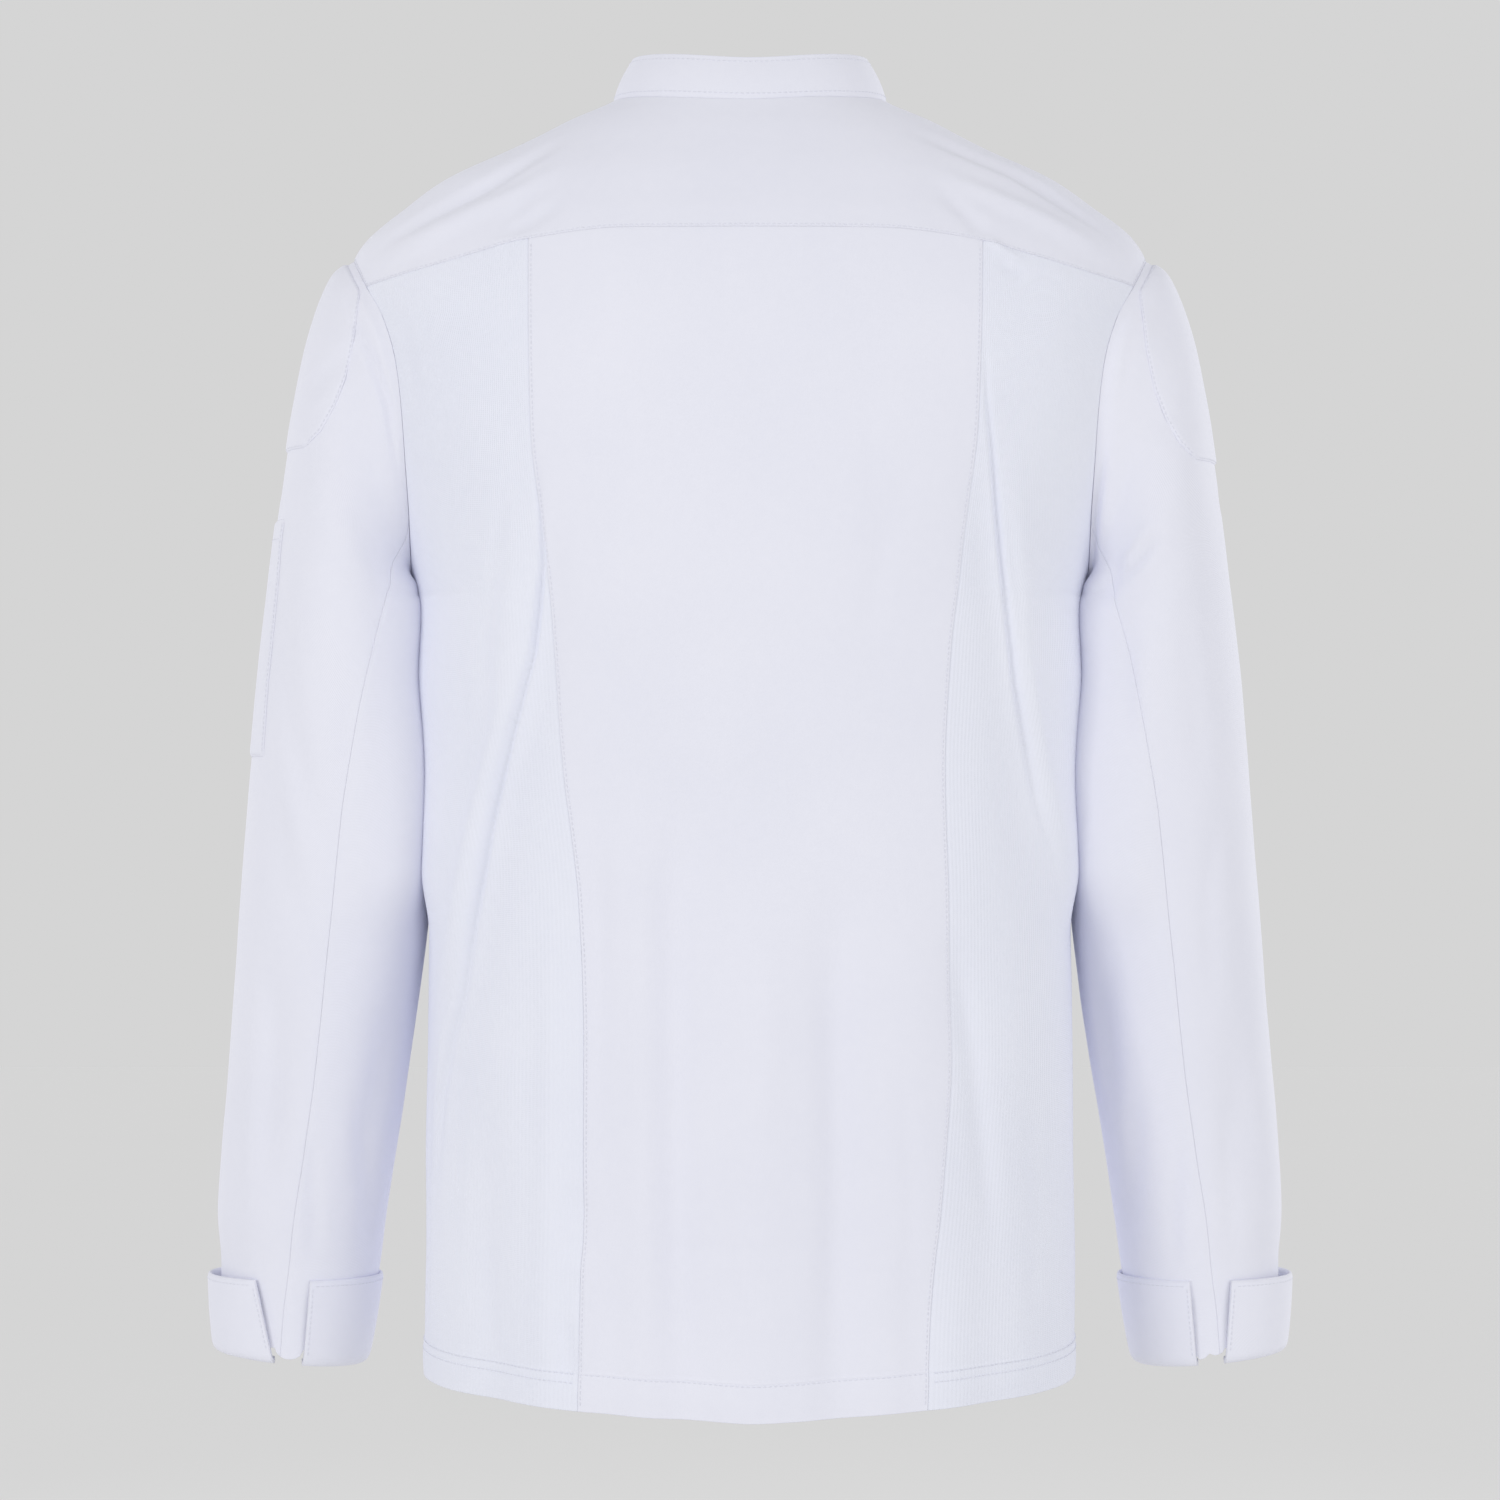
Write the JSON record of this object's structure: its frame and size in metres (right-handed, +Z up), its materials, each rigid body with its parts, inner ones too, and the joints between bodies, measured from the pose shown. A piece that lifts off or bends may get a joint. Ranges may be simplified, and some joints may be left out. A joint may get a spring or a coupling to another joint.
{
  "type": "chef jacket",
  "caption": "White long-sleeved chef jacket with a standing collar, a back yoke, ribbed side backs, turned-up cuffs and a snap front, filled out as it is worn.",
  "frame": {"origin": "middle of the neck opening, at the height of the two side neck points, where the collar seam crosses the shoulders", "axes": "+Z up, +Y towards the back of the jacket, -Y towards its front, +X towards the wearer's left"},
  "size_m": [0.646, 0.2674, 0.7808],
  "materials": {
    "twill": "matte cotton twill, white",
    "ribbed_knit": "matte knit with fine upright ribs, white",
    "stud": "satin white cap"
  },
  "bodies": {
    "root": {"collar": "twill", "yoke": "twill", "back_middle": "twill", "front_left": "twill", "front_right": "twill", "sleeve_upper_left": "twill", "sleeve_under_left": "twill", "shoulder_patch_left": "twill", "cuff_left": "twill", "sleeve_upper_right": "twill", "sleeve_under_right": "twill", "shoulder_patch_right": "twill", "cuff_right": "twill", "pen_pocket": "twill", "back_side_left": "ribbed_knit", "back_side_right": "ribbed_knit", "stud_1": "stud", "stud_2": "stud", "stud_3": "stud", "stud_4": "stud", "stud_5": "stud", "stud_6": "stud", "stud_7": "stud", "stud_8": "stud"}
  },
  "joints": []
}
